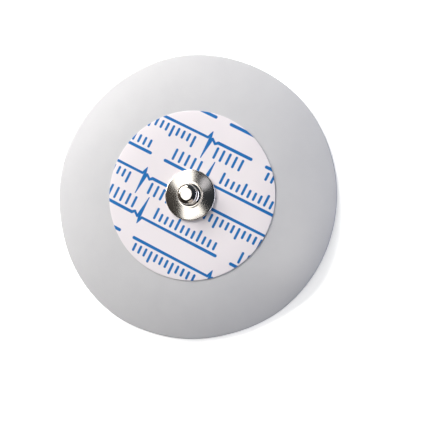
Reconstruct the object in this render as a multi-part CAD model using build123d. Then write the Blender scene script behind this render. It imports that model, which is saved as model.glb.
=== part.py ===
from build123d import *
import math
import os

# A foam-backed snap electrode for heart traces, lying on a table with its snap stud up.
# Millimetres, +Z up. The origin is on the table, at the middle of the disc.

# Gel pad, a soaked sponge that stands on the table and lifts the middle of the disc
GEL_DIAMETER = 18.4
GEL_THICKNESS = 3.1
GEL_EDGE_ROUND = 0.5

# Foam disc, die-cut from sheet, so its edge is pinched thinner than the sheet
DISC_DIAMETER = 55.0
FOAM_THICKNESS = 1.0
RIM_PINCH = 0.4
RIM_ROUND = 0.35
RIM_ROUND_SHARE = 0.8  # most of the rim's height that its rounding may take
WELL_CLEARANCE = 0.8
HUB_LAND = 2.0

# Printed film label over the middle of the foam
LABEL_DIAMETER = 32.4
LABEL_THICKNESS = 0.15
LABEL_HOLE_CLEARANCE = 0.1

# Snap stud, drawn from one round of plated sheet
STUD_SHEET = 0.25
FLANGE_DIAMETER = 9.8
LIP_HEIGHT = 0.45
LIP_ROUND = 0.3
CONE_RISE = 0.39
DISH_LAND = 0.3  # ring between the cone and the rounding at the neck's foot
DISH_DEPTH = 0.15
DISH_ROUND = 0.3
NECK_DIAMETER = 3.3
NECK_HEIGHT = 1.46
NECK_FOOT_ROUND = 0.65
NECK_FLARE = 0.4
FLARE_ROUND = 0.38
BALL_DIAMETER = 3.9
BALL_HEIGHT = 1.45
SHOULDER_FALL = 0.5
SHOULDER_ROUND = 0.35
CROWN_DIAMETER = 2.5
CROWN_ROUND = 0.9

# Sensor eyelet, coated plastic, its post upset inside the hollow stud
EYELET_OVERHANG = 0.3  # how far the eyelet's flange reaches past the stud's
EYELET_THICKNESS = 0.6
EYELET_EDGE_ROUND = 0.2
EYELET_POCKET_CLEARANCE = 0.15
POST_CLEARANCE = 0.05
HEAD_CLEARANCE = 0.12  # between the head and the inside of the ball, above and round about
HEAD_ROUND_SHARE = 0.9  # how much of the head's height its rounding takes, to clear the shoulder

# Worked-out radii
disc_radius = DISC_DIAMETER / 2
gel_radius = GEL_DIAMETER / 2
well_radius = gel_radius + WELL_CLEARANCE
hub_radius = well_radius + HUB_LAND
label_radius = LABEL_DIAMETER / 2
flange_radius = FLANGE_DIAMETER / 2
neck_radius = NECK_DIAMETER / 2
dish_radius = neck_radius + NECK_FOOT_ROUND + DISH_LAND
ball_radius = BALL_DIAMETER / 2
crown_radius = CROWN_DIAMETER / 2
eyelet_radius = flange_radius + EYELET_OVERHANG
post_radius = neck_radius - STUD_SHEET - POST_CLEARANCE
head_radius = ball_radius - STUD_SHEET - HEAD_CLEARANCE

# Worked-out heights, from the table up
hub_top = GEL_THICKNESS
label_top = hub_top + LABEL_THICKNESS
dish_rim = label_top + LIP_HEIGHT + CONE_RISE
neck_foot = dish_rim - DISH_DEPTH
ball_foot = neck_foot + NECK_HEIGHT
stud_top = ball_foot + BALL_HEIGHT
head_foot = ball_foot + STUD_SHEET
head_top = stud_top - STUD_SHEET - HEAD_CLEARANCE

# The foam's top skin is flat over the hub, then one arc down to the pinched rim
rim_top = FOAM_THICKNESS - RIM_PINCH
droop_run = disc_radius - hub_radius
droop_fall = hub_top - rim_top
dome_radius = (droop_run**2 + droop_fall**2) / (2 * droop_fall)
dome_centre = (hub_radius, hub_top - dome_radius)


def turned(section):
    """The solid that a section of radius and height makes when it is turned about the stud's axis."""
    return revolve(Plane.XZ * section, Axis.Z)


def window(r_in, r_out, z_low, z_high):
    """A rectangle of the section plane between two radii and two heights."""
    size = Rectangle(r_out - r_in, z_high - z_low, align=(Align.MIN, Align.MIN))
    return Pos(r_in, z_low) * size


def dome_layer(low, high):
    """Section of a layer that lies between two distances off the foam's top skin."""
    sweep = math.asin((droop_run + FOAM_THICKNESS) / (dome_radius + low))
    under = CenterArc(dome_centre, dome_radius + low, 90, -math.degrees(sweep))
    over = CenterArc(dome_centre, dome_radius + high, 90, -math.degrees(sweep))
    outline = [
        Line((0, hub_top + low), under @ 0),
        under,
        Line(under @ 1, over @ 1),
        over,
        Line(over @ 0, (0, hub_top + high)),
        Line((0, hub_top + high), (0, hub_top + low)),
    ]
    return make_face(outline)


def foam_backing():
    """The foam disc with its punched well, its rim flat on the table and rounded above."""
    ring = dome_layer(-FOAM_THICKNESS, 0) & window(well_radius, disc_radius, 0, hub_top)
    cut_corner = ring.vertices().group_by(Axis.X)[-1].sort_by(Axis.Y)[-1]
    return turned(fillet(cut_corner, min(RIM_ROUND, RIM_ROUND_SHARE * rim_top)))


def top_label():
    """The film label, which follows the foam's top skin and spans its well."""
    hole_radius = post_radius + LABEL_HOLE_CLEARANCE
    return turned(dome_layer(0, LABEL_THICKNESS) & window(hole_radius, label_radius, 0, label_top))


def snap_stud():
    """The drawn stud: one sheet, from its turned-down lip over cone, dish, neck and ball to the crown."""
    skin = FilletPolyline(
        (flange_radius, label_top),
        (flange_radius, label_top + LIP_HEIGHT),
        (dish_radius, dish_rim),
        (neck_radius, neck_foot),
        (neck_radius, ball_foot - NECK_FLARE),
        (ball_radius, ball_foot),
        (ball_radius, stud_top - SHOULDER_FALL),
        (crown_radius, stud_top),
        (0, stud_top),
        radius=[
            LIP_ROUND,
            DISH_ROUND,
            NECK_FOOT_ROUND,
            FLARE_ROUND,
            FLARE_ROUND,
            SHOULDER_ROUND,
            CROWN_ROUND,
        ],
    )
    sheet = offset(skin, amount=STUD_SHEET, side=Side.LEFT)
    return turned(make_face(sheet.edges()))


def sensor_eyelet():
    """The eyelet: a flange under the label, and a post with an upset head inside the stud."""
    shoulder = head_radius - post_radius
    head_round = HEAD_ROUND_SHARE * (head_top - head_foot)
    outline = FilletPolyline(
        (0, hub_top - EYELET_THICKNESS),
        (eyelet_radius, hub_top - EYELET_THICKNESS),
        (eyelet_radius, hub_top),
        (post_radius, hub_top),
        (post_radius, head_foot - shoulder),
        (head_radius, head_foot),
        (head_radius, head_top),
        (0, head_top),
        radius=[EYELET_EDGE_ROUND, 0, 0, 0, 0, head_round],
    )
    axis = Line(outline @ 1, outline @ 0)
    return turned(make_face([*outline.edges(), axis]))


def gel_pad():
    """The sponge, standing on the table in the foam's well, with a pocket for the eyelet's flange."""
    pocket_radius = eyelet_radius + EYELET_POCKET_CLEARANCE
    pocket_floor = hub_top - EYELET_THICKNESS
    sponge = turned(window(0, gel_radius, 0, hub_top))
    sponge = fillet(sponge.edges().sort_by(Axis.Z)[0], GEL_EDGE_ROUND)
    return sponge - turned(window(0, pocket_radius, pocket_floor, hub_top))


PIECES = {
    "foam_backing": foam_backing,
    "top_label": top_label,
    "snap_stud": snap_stud,
    "sensor_eyelet": sensor_eyelet,
    "gel_pad": gel_pad,
}

os.makedirs("parts", exist_ok=True)
for node, make in PIECES.items():
    piece = make()
    piece.label = node
    export_step(piece, f"parts/{node}.step")
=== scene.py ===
import math

import bpy
from mathutils import Matrix, Vector


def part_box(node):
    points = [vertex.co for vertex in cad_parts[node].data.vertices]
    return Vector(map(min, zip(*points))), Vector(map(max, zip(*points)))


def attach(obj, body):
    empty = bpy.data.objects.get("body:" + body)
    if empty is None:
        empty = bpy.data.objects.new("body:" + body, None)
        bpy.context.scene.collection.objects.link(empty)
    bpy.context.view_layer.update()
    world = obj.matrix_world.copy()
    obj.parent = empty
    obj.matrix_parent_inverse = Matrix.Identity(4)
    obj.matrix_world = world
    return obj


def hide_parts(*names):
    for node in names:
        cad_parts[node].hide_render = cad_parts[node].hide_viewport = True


# A foam-backed snap electrode for heart traces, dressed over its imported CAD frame.
# Outlines are in millimetres, as radius and height. Finished meshes are in metres, as the frame is.

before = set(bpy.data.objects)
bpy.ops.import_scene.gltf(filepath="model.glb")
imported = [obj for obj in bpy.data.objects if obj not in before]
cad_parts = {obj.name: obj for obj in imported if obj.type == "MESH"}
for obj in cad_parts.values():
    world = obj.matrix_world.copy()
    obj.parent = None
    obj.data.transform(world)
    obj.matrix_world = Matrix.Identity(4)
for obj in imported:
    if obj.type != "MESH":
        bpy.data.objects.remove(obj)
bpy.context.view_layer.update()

MM = 0.001
BODY = "root"
TURN_STEPS = 192
ARC_STEPS = 10
MERGE_DISTANCE = 0.002 * MM
CREASE_ANGLE = 40.0
UNDERSIDE_LEAN = -0.5  # a face whose normal leans lower than this belongs to the underside
INWARDS = -1.0


def reach(node):
    """Radius, lowest and highest height of a round CAD node, in millimetres."""
    low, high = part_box(node)
    return high.x / MM, low.z / MM, high.z / MM


# Sizes that the frame gives
disc_radius, table, hub_top = reach("foam_backing")
label_radius, _, _ = reach("top_label")
flange_radius, stud_foot, stud_top = reach("snap_stud")
eyelet_radius, eyelet_foot, _ = reach("sensor_eyelet")
gel_radius, gel_foot, gel_top = reach("gel_pad")

# Sizes that repeat the part's source
FOAM_THICKNESS = 1.0
WELL_RADIUS = 10.0
HUB_RADIUS = 12.0
RIM_TOP = 0.6
RIM_ROUND = 0.35
LABEL_THICKNESS = 0.15
LABEL_HOLE_RADIUS = 1.45
STUD_SHEET = 0.25
LIP_HEIGHT = 0.45
LIP_ROUND = 0.3
DISH_RADIUS = 2.6
DISH_RIM = 4.09
NECK_RADIUS = 1.65
NECK_FOOT = 3.94
NECK_FOOT_ROUND = 0.65
FLARE_FOOT = 5.0
FLARE_ROUND = 0.38
BALL_RADIUS = 1.95
BALL_FOOT = 5.4
SHOULDER_FALL = 0.5
SHOULDER_ROUND = 0.35
CROWN_RADIUS = 1.25
CROWN_ROUND = 0.9
POCKET_CLEARANCE = 0.15
GEL_EDGE_ROUND = 0.5

# The crest round the dish is crisper than the solid's, and the two differ by less than 0.01 mm
CREST_ROUND = 0.08

# The foam's top skin is flat over the hub, then one arc down to the rim
droop_run = disc_radius - HUB_RADIUS
droop_fall = hub_top - RIM_TOP
dome_radius = (droop_run**2 + droop_fall**2) / (2 * droop_fall)
dome_centre = hub_top - dome_radius


# Outlines


def dome_height(radius, lift):
    """Height of a skin that lies a set distance off the foam's top skin."""
    run = max(radius - HUB_RADIUS, 0)
    return dome_centre + math.sqrt((dome_radius + lift) ** 2 - run**2)


def dome_line(start, end, lift, steps):
    """Points along such a skin from one radius to another, none of them rounded."""
    radii = [start + (end - start) * i / steps for i in range(steps + 1)]
    return [(radius, dome_height(radius, lift), 0) for radius in radii]


def rounded(corners):
    """The outline through corners of radius, height and rounding, each rounding drawn as an arc."""
    outline = []
    for i, (radius, height, rounding) in enumerate(corners):
        corner = Vector((radius, height))
        if rounding == 0:
            outline.append(corner)
            continue
        back = (Vector(corners[i - 1][:2]) - corner).normalized()
        ahead = (Vector(corners[i + 1][:2]) - corner).normalized()
        half_angle = back.angle(ahead) / 2
        centre = corner + (back + ahead).normalized() * rounding / math.sin(half_angle)
        spoke = corner + back * rounding / math.tan(half_angle) - centre
        turn = (math.pi - 2 * half_angle) * math.copysign(1, back.cross(ahead))
        for j in range(ARC_STEPS + 1):
            outline.append(centre + Matrix.Rotation(-turn * j / ARC_STEPS, 2) @ spoke)
    return outline


# Modelling by hand


def only(piece):
    """Makes one object the only selected and active one."""
    bpy.ops.object.select_all(action="DESELECT")
    piece.select_set(True)
    bpy.context.view_layer.objects.active = piece


def turned(name, outline):
    """One point drawn out along an outline and spun about the stud's axis."""
    places = [Vector((radius, 0, height)) * MM for radius, height in outline]
    bpy.ops.object.select_all(action="DESELECT")
    bpy.ops.mesh.primitive_plane_add(size=MM, location=places[0])
    piece = bpy.context.object
    piece.name = name
    bpy.ops.object.mode_set(mode="EDIT")
    bpy.ops.mesh.merge(type="CENTER")
    for here, there in zip(places, places[1:]):
        bpy.ops.mesh.extrude_region_move(TRANSFORM_OT_translate={"value": there - here})
    bpy.ops.mesh.select_all(action="SELECT")
    bpy.ops.mesh.spin(steps=TURN_STEPS, angle=math.tau, center=(0, 0, 0), axis=(0, 0, 1))
    bpy.ops.mesh.select_all(action="SELECT")
    bpy.ops.mesh.remove_doubles(threshold=MERGE_DISTANCE)
    bpy.ops.mesh.normals_make_consistent(inside=False)
    bpy.ops.object.mode_set(mode="OBJECT")
    bpy.ops.object.transform_apply(location=True, rotation=True, scale=True)
    return piece


def pulled(piece, radius, azimuth, move, spread):
    """Pulls a piece out and up at one place on its rim, and what is round about follows softly."""
    angle = math.radians(azimuth)
    out = Vector((math.cos(angle), math.sin(angle), 0))
    only(piece)
    bpy.ops.object.mode_set(mode="EDIT")
    bpy.ops.mesh.select_mode(type="VERT")
    bpy.ops.mesh.select_all(action="DESELECT")
    bpy.ops.object.mode_set(mode="OBJECT")
    grip = out * radius * MM
    nearest = min(piece.data.vertices, key=lambda v: (v.co.xy - grip.xy).length)
    nearest.select = True
    bpy.ops.object.mode_set(mode="EDIT")
    bpy.ops.transform.translate(
        value=(out * move[0] + Vector((0, 0, move[1]))) * MM,
        use_proportional_edit=True,
        proportional_edit_falloff="SMOOTH",
        proportional_size=spread * MM,
    )
    bpy.ops.object.mode_set(mode="OBJECT")


def finished(piece, node, materials):
    """Shades a piece, gives it its materials, the second underneath, and puts it in its node's place."""
    only(piece)
    bpy.ops.object.shade_smooth_by_angle(angle=math.radians(CREASE_ANGLE))
    piece.data.materials.clear()
    for material in materials:
        piece.data.materials.append(material)
    if len(materials) > 1:
        for face in piece.data.polygons:
            face.material_index = int(face.normal.z < UNDERSIDE_LEAN)
    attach(piece, BODY)
    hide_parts(node)


# Materials, their pattern sizes in millimetres
FOAM_MOTTLE = 4.0
FOAM_CELL = 0.45  # coarser than the real cells, which are too fine to show
FOAM_CELL_DEPTH = 0.02
FOAM_GLOW = 0.8  # how far light spreads inside the foam
ADHESIVE_PATCH = 2.5
ADHESIVE_GRAIN = 0.6  # coarser than the real grain, which is too fine to show
ADHESIVE_GRAIN_DEPTH = 0.03
DRAWN_RING = 0.2  # coarser than the real rings, which are too fine to show
DRAWN_RING_DEPTH = 0.01
PORE_SIZE = 0.7
SPONGE_GLOW = 1.0  # how far light spreads inside the sponge
SILVER_SPECKLE = 0.25  # coarser than the real grains, which are too fine to show
INK_CLOUD = 1.5
INK_EDGE = 0.04  # half the width over which the ink fades out at its edge
FILM_WAVE = 5.0
FILM_WAVE_DEPTH = 0.05
FILM_CLOUD = 2.0


def linear(code):
    """An sRGB hex colour as the linear colour that a node takes, by the curve of the sRGB standard."""
    shares = [int(code[i : i + 2], 16) / 255 for i in (1, 3, 5)]
    return [s / 12.92 if s <= 0.04045 else ((s + 0.055) / 1.055) ** 2.4 for s in shares] + [1.0]


def feed(tree, node, inputs):
    """Links a node's inputs to other nodes, or sets them."""
    for key, value in inputs.items():
        if isinstance(value, bpy.types.NodeSocket):
            tree.links.new(value, node.inputs[key])
        else:
            node.inputs[key].default_value = value


def add(tree, kind, inputs, **settings):
    """One node, with its settings made and its inputs linked or set."""
    made = tree.nodes.new("ShaderNode" + kind)
    for name, value in settings.items():
        setattr(made, name, value)
    feed(tree, made, inputs)
    return made


def fresh_material(name):
    """A new material, its node tree, its shader and its Object coordinates."""
    material = bpy.data.materials.new(name)
    material.use_nodes = True
    tree = material.node_tree
    shader = tree.nodes["Principled BSDF"]
    place = add(tree, "TexCoord", {}).outputs["Object"]
    return material, tree, shader, place


def pattern_scale(size):
    """The scale at which one cell of a texture is so many millimetres."""
    return 1 / (size * MM)


def polyethylene_foam():
    """White closed-cell foam: matt, its cut skin faintly mottled, its cells a fine grain."""
    material, tree, shader, place = fresh_material("polyethylene_foam")
    mottle = add(tree, "TexNoise", {"Vector": place, "Scale": pattern_scale(FOAM_MOTTLE), "Detail": 3.0})
    colour = add(
        tree,
        "MixRGB",
        {"Fac": mottle.outputs["Fac"], "Color1": linear("#CCCCCF"), "Color2": linear("#D3D3D5")},
    )
    cells = add(tree, "TexVoronoi", {"Vector": place, "Scale": pattern_scale(FOAM_CELL)})
    grain = add(
        tree,
        "Bump",
        {"Height": cells.outputs["Distance"], "Strength": 0.25, "Distance": FOAM_CELL_DEPTH * MM},
    )
    surface = {
        "Base Color": colour.outputs["Color"],
        "Normal": grain.outputs["Normal"],
        "Roughness": 0.62,
        "Specular IOR Level": 0.25,
        "Subsurface Weight": 0.15,
        "Subsurface Radius": (1.0, 1.0, 1.0),
        "Subsurface Scale": FOAM_GLOW * MM,
    }
    feed(tree, shader, surface)
    return material


def acrylic_adhesive():
    """Adhesive under the foam: a thin tacky layer, glossier than the foam and patchy where it was spread."""
    material, tree, shader, place = fresh_material("acrylic_adhesive")
    spread = add(
        tree,
        "TexNoise",
        {"Vector": place, "Scale": pattern_scale(ADHESIVE_PATCH), "Detail": 4.0},
    )
    colour = add(
        tree,
        "MixRGB",
        {"Fac": spread.outputs["Fac"], "Color1": linear("#CFCEC8"), "Color2": linear("#DCDBD6")},
    )
    gloss = add(
        tree,
        "MapRange",
        {"Value": spread.outputs["Fac"], "From Min": 0.3, "From Max": 0.7, "To Min": 0.25, "To Max": 0.5},
    )
    cells = add(tree, "TexVoronoi", {"Vector": place, "Scale": pattern_scale(ADHESIVE_GRAIN)})
    relief = add(
        tree,
        "Bump",
        {"Height": cells.outputs["Distance"], "Strength": 0.3, "Distance": ADHESIVE_GRAIN_DEPTH * MM},
    )
    surface = {
        "Base Color": colour.outputs["Color"],
        "Roughness": gloss.outputs["Result"],
        "Normal": relief.outputs["Normal"],
    }
    feed(tree, shader, surface)
    return material


def nickel_plate():
    """Bright nickel on drawn sheet: warm grey mirror, with fine rings from the drawing tool."""
    material, tree, shader, place = fresh_material("nickel_plate")
    flat = add(tree, "VectorMath", {0: place, 1: (1, 1, 0)}, operation="MULTIPLY")
    radius = add(tree, "VectorMath", {0: flat.outputs["Vector"]}, operation="LENGTH")
    rings = add(
        tree,
        "TexNoise",
        {"W": radius.outputs["Value"], "Scale": pattern_scale(DRAWN_RING), "Detail": 2.0},
        noise_dimensions="1D",
    )
    lines = add(
        tree,
        "Bump",
        {"Height": rings.outputs["Fac"], "Strength": 0.1, "Distance": DRAWN_RING_DEPTH * MM},
    )
    round_about = add(tree, "VectorMath", {0: (0, 0, 1), 1: place}, operation="CROSS_PRODUCT")
    surface = {
        "Normal": lines.outputs["Normal"],
        "Tangent": round_about.outputs["Vector"],
        "Base Color": linear("#D9D3CA"),
        "Metallic": 1.0,
        "Roughness": 0.15,
        "Anisotropic": 0.5,
    }
    feed(tree, shader, surface)
    return material


def gel_sponge():
    """Pale open-cell sponge, soaked, so the pores show through a wet gloss; the pores are painted darker
    than their walls, as painted shade in them.
    """
    material, tree, shader, place = fresh_material("gel_sponge")
    pores = add(tree, "TexVoronoi", {"Vector": place, "Scale": pattern_scale(PORE_SIZE)})
    # Painted shade: darker at the middle of each pore, lighter on the walls between the pores.
    colour = add(
        tree,
        "MixRGB",
        {"Fac": pores.outputs["Distance"], "Color1": linear("#C3CCC8"), "Color2": linear("#E3E8E4")},
    )
    surface = {
        "Base Color": colour.outputs["Color"],
        "Roughness": 0.3,
        "Coat Weight": 0.6,
        "Coat Roughness": 0.08,
        "Subsurface Weight": 0.3,
        "Subsurface Radius": (1.0, 1.0, 1.0),
        "Subsurface Scale": SPONGE_GLOW * MM,
    }
    feed(tree, shader, surface)
    return material


def silver_coat():
    """Silver and silver chloride on plastic: a dull grey, lightly speckled."""
    material, tree, shader, place = fresh_material("silver_coat")
    speckle = add(tree, "TexNoise", {"Vector": place, "Scale": pattern_scale(SILVER_SPECKLE)})
    colour = add(
        tree,
        "MixRGB",
        {"Fac": speckle.outputs["Fac"], "Color1": linear("#6C696B"), "Color2": linear("#8E8B8C")},
    )
    feed(tree, shader, {"Base Color": colour.outputs["Color"], "Metallic": 0.5, "Roughness": 0.5})
    return material


# Print of the label, in millimetres along and across its rows
PRINT_TURN = -27.5
ROW_PITCH = 11.7
ROW_SHIFT = 8.4
TRACE_PERIOD = 28.8
TRACE_LEAD = 1.65
UPRIGHT_START = (-7.55, -3.7, 0)
INVERTED_START = (-1.1, 0.5, 0)
LINE_WIDTH = 0.62
# One heartbeat: place along the row, place across it and width of the line there
TRACE = [
    (0.0, 0.0, LINE_WIDTH),
    (7.05, 0.0, LINE_WIDTH),
    (7.55, -0.43, 0.5),
    (8.4, 0.25, 0.46),
    (8.9, -3.95, 0.2),
    (8.85, 0.2, 0.55),
    (8.95, 1.45, 0.2),
    (9.35, 0.1, 0.5),
    (25.5, 0.0, LINE_WIDTH),
]
TICK_FOOT = -0.95
TICK_WIDTH = 0.5
SHORT_TICK = 1.2
LONG_TICK = 1.9
# The ticks before the beat are all tall, and of those after it every fourth is
TICKS_BEFORE = {"first": 1.2, "pitch": 1.35, "count": 5, "tall_every": 1}
TICKS_AFTER = {"first": 11.6, "pitch": 1.18, "count": 12, "tall_every": 4}
BETWEEN_TALL_AND_SHORT = 0.5  # the count past a tall tick is 0 on it and at least 1 on a short one


def stroke(tree, place, start, end):
    """How far a place lies outside a straight stroke whose width runs from one end's to the other's."""
    run = Vector((end[0] - start[0], end[1] - start[1], 0))
    from_start = add(tree, "VectorMath", {0: place, 1: (start[0], start[1], 0)}, operation="SUBTRACT")
    offset = from_start.outputs["Vector"]
    along = add(tree, "VectorMath", {0: offset, 1: run / run.length_squared}, operation="DOT_PRODUCT")
    share = add(tree, "Clamp", {"Value": along.outputs["Value"]}).outputs["Result"]
    foot = add(tree, "VectorMath", {0: run, "Scale": share}, operation="SCALE")
    gap = add(tree, "VectorMath", {0: offset, 1: foot.outputs["Vector"]}, operation="DISTANCE")
    half = add(
        tree,
        "Math",
        {0: share, 1: (end[2] - start[2]) / 2, 2: start[2] / 2},
        operation="MULTIPLY_ADD",
    )
    outside = add(
        tree,
        "Math",
        {0: gap.outputs["Value"], 1: half.outputs["Value"]},
        operation="SUBTRACT",
    )
    return outside.outputs["Value"]


def ticks(tree, u, v, first, pitch, count, tall_every):
    """How far a place lies outside a run of upright ticks, of which every so many is a tall one."""
    slot = add(tree, "Math", {0: u, 1: first}, operation="SUBTRACT").outputs["Value"]
    slot = add(tree, "Math", {0: slot, 1: pitch}, operation="DIVIDE").outputs["Value"]
    number = add(tree, "Math", {0: slot}, operation="ROUND").outputs["Value"]
    number = add(tree, "Clamp", {"Value": number, "Max": count - 1}).outputs["Result"]
    centre = add(tree, "Math", {0: number, 1: pitch, 2: first}, operation="MULTIPLY_ADD")
    aside = add(tree, "Math", {0: u, 1: centre.outputs["Value"]}, operation="SUBTRACT")
    past_tall = add(tree, "Math", {0: number, 1: tall_every}, operation="FLOORED_MODULO")
    short = add(
        tree,
        "Math",
        {0: past_tall.outputs["Value"], 1: BETWEEN_TALL_AND_SHORT},
        operation="GREATER_THAN",
    )
    top = add(
        tree,
        "Math",
        {0: short.outputs["Value"], 1: LONG_TICK - SHORT_TICK, 2: TICK_FOOT - LONG_TICK},
        operation="MULTIPLY_ADD",
    )
    held = add(tree, "Clamp", {"Value": v, "Min": top.outputs["Value"], "Max": TICK_FOOT})
    over = add(tree, "Math", {0: v, 1: held.outputs["Result"]}, operation="SUBTRACT")
    apart = add(tree, "CombineXYZ", {"X": aside.outputs["Value"], "Y": over.outputs["Value"]})
    gap = add(tree, "VectorMath", {0: apart.outputs["Vector"]}, operation="LENGTH")
    outside = add(tree, "Math", {0: gap.outputs["Value"], 1: TICK_WIDTH / 2}, operation="SUBTRACT")
    return outside.outputs["Value"]


def trace_rows(tree, place):
    """How far a place lies outside the ink of the rows of traces, their ticks standing on the line."""
    parts = add(tree, "SeparateXYZ", {"Vector": place})
    row = add(tree, "Math", {0: parts.outputs["Y"], 1: ROW_PITCH}, operation="DIVIDE")
    row = add(tree, "Math", {0: row.outputs["Value"]}, operation="ROUND").outputs["Value"]
    v = add(tree, "Math", {0: row, 1: -ROW_PITCH, 2: parts.outputs["Y"]}, operation="MULTIPLY_ADD")
    u = add(tree, "Math", {0: row, 1: ROW_SHIFT, 2: parts.outputs["X"]}, operation="MULTIPLY_ADD")
    u = add(
        tree,
        "Math",
        {0: u.outputs["Value"], 1: TRACE_PERIOD - TRACE_LEAD, 2: -TRACE_LEAD},
        operation="WRAP",
    )
    u = u.outputs["Value"]
    v = v.outputs["Value"]
    here = add(tree, "CombineXYZ", {"X": u, "Y": v}).outputs["Vector"]
    shapes = [stroke(tree, here, start, end) for start, end in zip(TRACE, TRACE[1:])]
    shapes += [ticks(tree, u, v, **run) for run in (TICKS_BEFORE, TICKS_AFTER)]
    nearest = shapes[0]
    for shape in shapes[1:]:
        nearest = add(tree, "Math", {0: nearest, 1: shape}, operation="MINIMUM").outputs["Value"]
    return nearest


def printed_film():
    """White satin film with blue ink: the ink lies flat on it, a little uneven in strength."""
    material, tree, shader, place = fresh_material("printed_film")
    sheet = add(
        tree,
        "Mapping",
        {
            "Vector": place,
            "Rotation": (0, 0, math.radians(PRINT_TURN)),
            "Scale": (1 / MM, -1 / MM, 0),
        },
    ).outputs["Vector"]
    upright = add(tree, "VectorMath", {0: sheet, 1: UPRIGHT_START}, operation="SUBTRACT")
    inverted = add(tree, "VectorMath", {0: INVERTED_START, 1: sheet}, operation="SUBTRACT")
    outside = add(
        tree,
        "Math",
        {
            0: trace_rows(tree, upright.outputs["Vector"]),
            1: trace_rows(tree, inverted.outputs["Vector"]),
        },
        operation="MINIMUM",
    )
    ink = add(
        tree,
        "MapRange",
        {
            "Value": outside.outputs["Value"],
            "From Min": -INK_EDGE,
            "From Max": INK_EDGE,
            "To Min": 1.0,
            "To Max": 0.0,
        },
    )
    strength = add(tree, "TexNoise", {"Vector": place, "Scale": pattern_scale(INK_CLOUD), "Detail": 3.0})
    blue = add(
        tree,
        "MixRGB",
        {"Fac": strength.outputs["Fac"], "Color1": linear("#0E64B0"), "Color2": linear("#1A78BE")},
    )
    colour = add(
        tree,
        "MixRGB",
        {"Fac": ink.outputs["Result"], "Color1": linear("#F0EAEE"), "Color2": blue.outputs["Color"]},
    )
    waves = add(tree, "TexNoise", {"Vector": place, "Scale": pattern_scale(FILM_WAVE)})
    uneven = add(
        tree,
        "Bump",
        {"Height": waves.outputs["Fac"], "Strength": 0.3, "Distance": FILM_WAVE_DEPTH * MM},
    )
    surface = {
        "Base Color": colour.outputs["Color"],
        "Normal": uneven.outputs["Normal"],
        "Roughness": 0.5,
        "Specular IOR Level": 0.2,
    }
    feed(tree, shader, surface)
    return material


def bare_film():
    """The label's own underside: the same white film with no ink, dulled by its adhesive."""
    material, tree, shader, place = fresh_material("bare_film")
    cloud = add(tree, "TexNoise", {"Vector": place, "Scale": pattern_scale(FILM_CLOUD), "Detail": 3.0})
    colour = add(
        tree,
        "MixRGB",
        {"Fac": cloud.outputs["Fac"], "Color1": linear("#DEDADB"), "Color2": linear("#E8E4E5")},
    )
    feed(tree, shader, {"Base Color": colour.outputs["Color"], "Roughness": 0.55})
    return material


# Pieces
DOME_STEPS = 30
CUT_ROUND = 0.06
# Where the die-cut foam strays from round and flat: azimuth, pull outwards, pull upwards and spread
RIM_PULLS = [
    (-40, 0.05, 0.55, 11),
    (-27, 0.05, 0.55, 11),
    (-10, 0.0, 0.45, 11),
    (-75, -0.25, 0.0, 12),
    (-125, 0.42, 0.0, 13),
    (-148, 0.3, 0.0, 11),
    (165, 0.05, 0.1, 12),
    (95, 0.2, 0.0, 12),
    (35, 0.1, 0.0, 12),
]
FILM_EDGE_ROUND = 0.06
# Where the label's edge has come off the foam: azimuth and pull upwards
EDGE_LIFTS = [(42, 0.14), (14, 0.1)]
EDGE_LIFT_SPREAD = 6.0
PORE_DEPTH = 0.15
PORE_LEVEL = 1.1  # above the pattern's highest value, so that the sponge's skin only goes inwards
PORE_RINGS = 60
WALL_RINGS = 14
SPONGE_CORNER = 0.1


def foam_disc():
    """The foam: its top skin, rounded rim, adhesive underside and punched well as one closed section."""
    underside_end = HUB_RADIUS + math.sqrt((dome_radius - FOAM_THICKNESS) ** 2 - dome_centre**2)
    top = dome_line(WELL_RADIUS, disc_radius, 0, DOME_STEPS)
    underside = dome_line(underside_end, WELL_RADIUS, -FOAM_THICKNESS, DOME_STEPS)
    rim = [(disc_radius, RIM_TOP, RIM_ROUND), (disc_radius, table, CUT_ROUND)]
    foam = turned("foam_disc", rounded(top[:-1] + rim + underside + top[:1]))
    for azimuth, outward, upward, spread in RIM_PULLS:
        pulled(foam, disc_radius, azimuth, (outward, upward), spread)
    finished(foam, "foam_backing", [polyethylene_foam(), acrylic_adhesive()])


def film_label():
    """The label: a film that follows the foam's top skin."""
    top = dome_line(LABEL_HOLE_RADIUS, label_radius, LABEL_THICKNESS, DOME_STEPS)
    top[-1] = (*top[-1][:2], FILM_EDGE_ROUND)
    under = dome_line(label_radius, LABEL_HOLE_RADIUS, 0, DOME_STEPS)
    label = turned("film_label", rounded(top + under + top[:1]))
    for azimuth, upward in EDGE_LIFTS:
        pulled(label, label_radius, azimuth, (0, upward), EDGE_LIFT_SPREAD)
    finished(label, "top_label", [printed_film(), bare_film()])


def stud():
    """The stud: its outer skin from lip to crown, then the sheet's thickness inwards."""
    skin = [
        (flange_radius, stud_foot, 0),
        (flange_radius, stud_foot + LIP_HEIGHT, LIP_ROUND),
        (DISH_RADIUS, DISH_RIM, CREST_ROUND),
        (NECK_RADIUS, NECK_FOOT, NECK_FOOT_ROUND),
        (NECK_RADIUS, FLARE_FOOT, FLARE_ROUND),
        (BALL_RADIUS, BALL_FOOT, FLARE_ROUND),
        (BALL_RADIUS, stud_top - SHOULDER_FALL, SHOULDER_ROUND),
        (CROWN_RADIUS, stud_top, CROWN_ROUND),
        (0, stud_top, 0),
    ]
    made = turned("drawn_stud", rounded(skin))
    only(made)
    sheet = made.modifiers.new("sheet", "SOLIDIFY")
    sheet.thickness = STUD_SHEET * MM
    sheet.offset = INWARDS
    bpy.ops.object.modifier_apply(modifier=sheet.name)
    finished(made, "snap_stud", [nickel_plate()])


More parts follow.
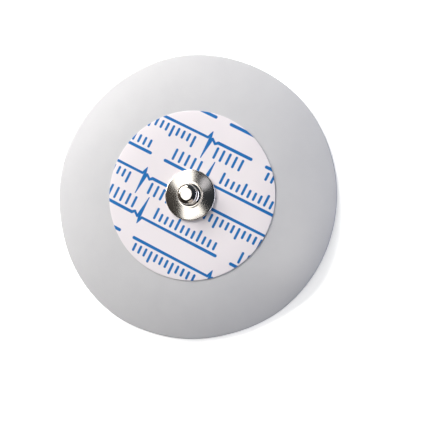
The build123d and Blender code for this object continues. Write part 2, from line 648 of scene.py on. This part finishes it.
def sponge():
    """The sponge that carries the gel, with a pocket for the eyelet's flange, its pores pressed in."""
    pocket_radius = eyelet_radius + POCKET_CLEARANCE
    face_end = gel_radius - GEL_EDGE_ROUND
    wall_foot = gel_foot + GEL_EDGE_ROUND
    face = [(face_end * i / PORE_RINGS, gel_foot, 0) for i in range(PORE_RINGS)]
    wall_rise = gel_top - SPONGE_CORNER - wall_foot
    wall = [(gel_radius, wall_foot + wall_rise * i / WALL_RINGS, 0) for i in range(1, WALL_RINGS)]
    section = [
        *face,
        (gel_radius, gel_foot, GEL_EDGE_ROUND),
        *wall,
        (gel_radius, gel_top, SPONGE_CORNER),
        (pocket_radius, gel_top, SPONGE_CORNER),
        (pocket_radius, eyelet_foot, 0),
        (0, eyelet_foot, 0),
    ]
    made = turned("gel_sponge_pad", rounded(section))
    pores = bpy.data.textures.new("sponge_pores", "VORONOI")
    pores.noise_scale = PORE_SIZE * MM
    pressed = made.modifiers.new("pores", "DISPLACE")
    pressed.texture = pores
    pressed.texture_coords = "LOCAL"
    pressed.mid_level = PORE_LEVEL
    pressed.strength = PORE_DEPTH * MM
    bpy.ops.object.modifier_apply(modifier=pressed.name)
    finished(made, "gel_pad", [gel_sponge()])


def eyelet():
    """The eyelet keeps its CAD shape and gets its coat."""
    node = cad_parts["sensor_eyelet"]
    node.data.materials.clear()
    node.data.materials.append(silver_coat())


foam_disc()
film_label()
stud()
sponge()
eyelet()


# Camera, from the photograph's viewing angle
SENSOR = 36.0
LENS = 70.95
CAMERA_AZIMUTH = 71.0
CAMERA_ELEVATION = 76.3
CAMERA_DISTANCE = 168.0
CLIP_START = 10.0
AIM = Vector((5.07, -4.6, 0))


def facing(back, upward):
    """The turn of a camera or lamp whose back points one way and whose own Y leans another."""
    across = upward.cross(back).normalized()
    return Matrix((across, back.cross(across), back)).transposed().to_euler()


def look_down():
    """The camera, close over the disc and a little to one side, with +Y up in the picture."""
    azimuth = math.radians(CAMERA_AZIMUTH)
    elevation = math.radians(CAMERA_ELEVATION)
    level = math.cos(elevation)
    to_camera = Vector((math.sin(azimuth) * level, -math.cos(azimuth) * level, math.sin(elevation)))
    place = to_camera * CAMERA_DISTANCE
    turn = facing((place - AIM).normalized(), Vector((0, 1, 0)))
    bpy.ops.object.camera_add(location=place * MM, rotation=turn)
    camera = bpy.context.object
    camera.data.sensor_width = SENSOR
    camera.data.lens = LENS
    camera.data.clip_start = CLIP_START * MM
    bpy.context.scene.camera = camera


# Studio, in metres
FLOOR_SIZE = 20.0
FLOOR_DROP = 0.02 * MM  # keeps the floor clear of the faces that lie on the table
# The floor's glow grows from the disc outwards, to white far away
GLOW_NEAR = 0.05
GLOW_FAR = 0.3
GLOW_NEAR_LEVEL = 0.55
GLOW_FAR_LEVEL = 1.0
# The room is dimmer overhead than at the horizon, and dimmer in front of the disc than behind it
HORIZON_LEVEL = 0.22
OVERHEAD_LEVEL = 0.05
OVERHEAD_RISE = 0.6
FRONT_START = -0.7
FRONT_END = 0.1
FRONT_SHARE = 0.4
# The room is warm on the left and cool on the right
WARM_SIDE = -0.5
COOL_SIDE = 0.2


def studio_floor():
    """White paper that looks white to the camera and in the metal, and still takes the shadow."""
    bpy.ops.object.select_all(action="DESELECT")
    bpy.ops.mesh.primitive_plane_add(size=FLOOR_SIZE, location=(0, 0, -FLOOR_DROP))
    floor = bpy.context.object
    floor.name = "studio_floor"
    material = bpy.data.materials.new("white_studio_paper")
    material.use_nodes = True
    tree = material.node_tree
    tree.nodes.clear()
    path = add(tree, "LightPath", {})
    seen = add(
        tree,
        "Math",
        {0: path.outputs["Is Camera Ray"], 1: path.outputs["Is Glossy Ray"]},
        operation="MAXIMUM",
    )
    seen = add(
        tree,
        "Math",
        {0: seen.outputs["Value"], 1: path.outputs["Is Transmission Ray"]},
        operation="MAXIMUM",
    )
    place = add(tree, "TexCoord", {}).outputs["Object"]
    away = add(tree, "VectorMath", {0: place}, operation="LENGTH")
    level = add(
        tree,
        "MapRange",
        {
            "Value": away.outputs["Value"],
            "From Min": GLOW_NEAR,
            "From Max": GLOW_FAR,
            "To Min": GLOW_NEAR_LEVEL,
            "To Max": GLOW_FAR_LEVEL,
        },
    )
    glow = add(tree, "Math", {0: seen.outputs["Value"], 1: level.outputs["Result"]}, operation="MULTIPLY")
    white = add(tree, "BsdfDiffuse", {"Color": linear("#F4F4F4")})
    lift = add(tree, "Emission", {"Strength": glow.outputs["Value"]})
    both = add(tree, "AddShader", {0: white.outputs["BSDF"], 1: lift.outputs["Emission"]})
    add(tree, "OutputMaterial", {"Surface": both.outputs["Shader"]})
    floor.data.materials.append(material)


def softbox(name, direction, along, distance, size, power, colour):
    """A rectangular softbox that faces the disc from a direction, its second side along another."""
    back = Vector(direction).normalized()
    turn = facing(back, Vector(along))
    bpy.ops.object.light_add(type="AREA", location=back * distance, rotation=turn)
    lamp = bpy.context.object
    lamp.name = name
    lamp.data.shape = "RECTANGLE"
    lamp.data.size, lamp.data.size_y = size
    lamp.data.energy = power
    lamp.data.color = linear(colour)[:3]
    lamp.visible_camera = False


def softboxes():
    """A broad key at the back left, a low fill at the right, a strip overhead, two cards for the metal."""
    softbox(
        "key",
        direction=(-0.68, 0.73, 0.54),
        along=(0, 0, 1),
        distance=0.8,
        size=(0.9, 0.3),
        power=11.0,
        colour="#FFFDFA",
    )
    softbox(
        "fill",
        direction=(0.98, -0.17, 0.09),
        along=(0, 0, 1),
        distance=0.8,
        size=(1.2, 0.12),
        power=3.2,
        colour="#DCE4FF",
    )
    softbox(
        "strip",
        direction=(-0.29, 0.09, 1.0),
        along=(-0.29, 0.96, 0),
        distance=0.4,
        size=(0.175, 0.39),
        power=0.44,
        colour="#FFFFFF",
    )
    softbox(
        "panel",
        direction=(0.08, 0.31, 1.0),
        along=(0, 1, 0),
        distance=0.4,
        size=(0.05, 0.08),
        power=0.012,
        colour="#F2F4FF",
    )
    softbox(
        "card",
        direction=(0.30, -0.82, 0.52),
        along=(0, 0, 1),
        distance=0.4,
        size=(0.25, 0.08),
        power=0.045,
        colour="#FFF4EC",
    )


def dim_room():
    """The room round about, which the metal mirrors between the softboxes."""
    world = bpy.data.worlds.new("dim_room")
    world.use_nodes = True
    tree = world.node_tree
    direction = add(tree, "TexCoord", {}).outputs["Generated"]
    across = add(tree, "SeparateXYZ", {"Vector": direction})
    dim = add(
        tree,
        "MapRange",
        {
            "Value": across.outputs["Z"],
            "From Min": 0.0,
            "From Max": OVERHEAD_RISE,
            "To Min": HORIZON_LEVEL,
            "To Max": OVERHEAD_LEVEL,
        },
        interpolation_type="SMOOTHSTEP",
    )
    front = add(
        tree,
        "MapRange",
        {
            "Value": across.outputs["Y"],
            "From Min": FRONT_START,
            "From Max": FRONT_END,
            "To Min": FRONT_SHARE,
            "To Max": 1.0,
        },
    )
    level = add(tree, "Math", {0: dim.outputs["Result"], 1: front.outputs["Result"]}, operation="MULTIPLY")
    side = add(
        tree,
        "MapRange",
        {"Value": across.outputs["X"], "From Min": WARM_SIDE, "From Max": COOL_SIDE},
    )
    tint = add(
        tree,
        "MixRGB",
        {"Fac": side.outputs["Result"], "Color1": linear("#D8C8BC"), "Color2": linear("#B8CCE4")},
    )
    feed(
        tree,
        tree.nodes["Background"],
        {"Color": tint.outputs["Color"], "Strength": level.outputs["Value"]},
    )
    bpy.context.scene.world = world


look_down()
studio_floor()
softboxes()
dim_room()
bpy.context.scene.view_settings.view_transform = "Standard"
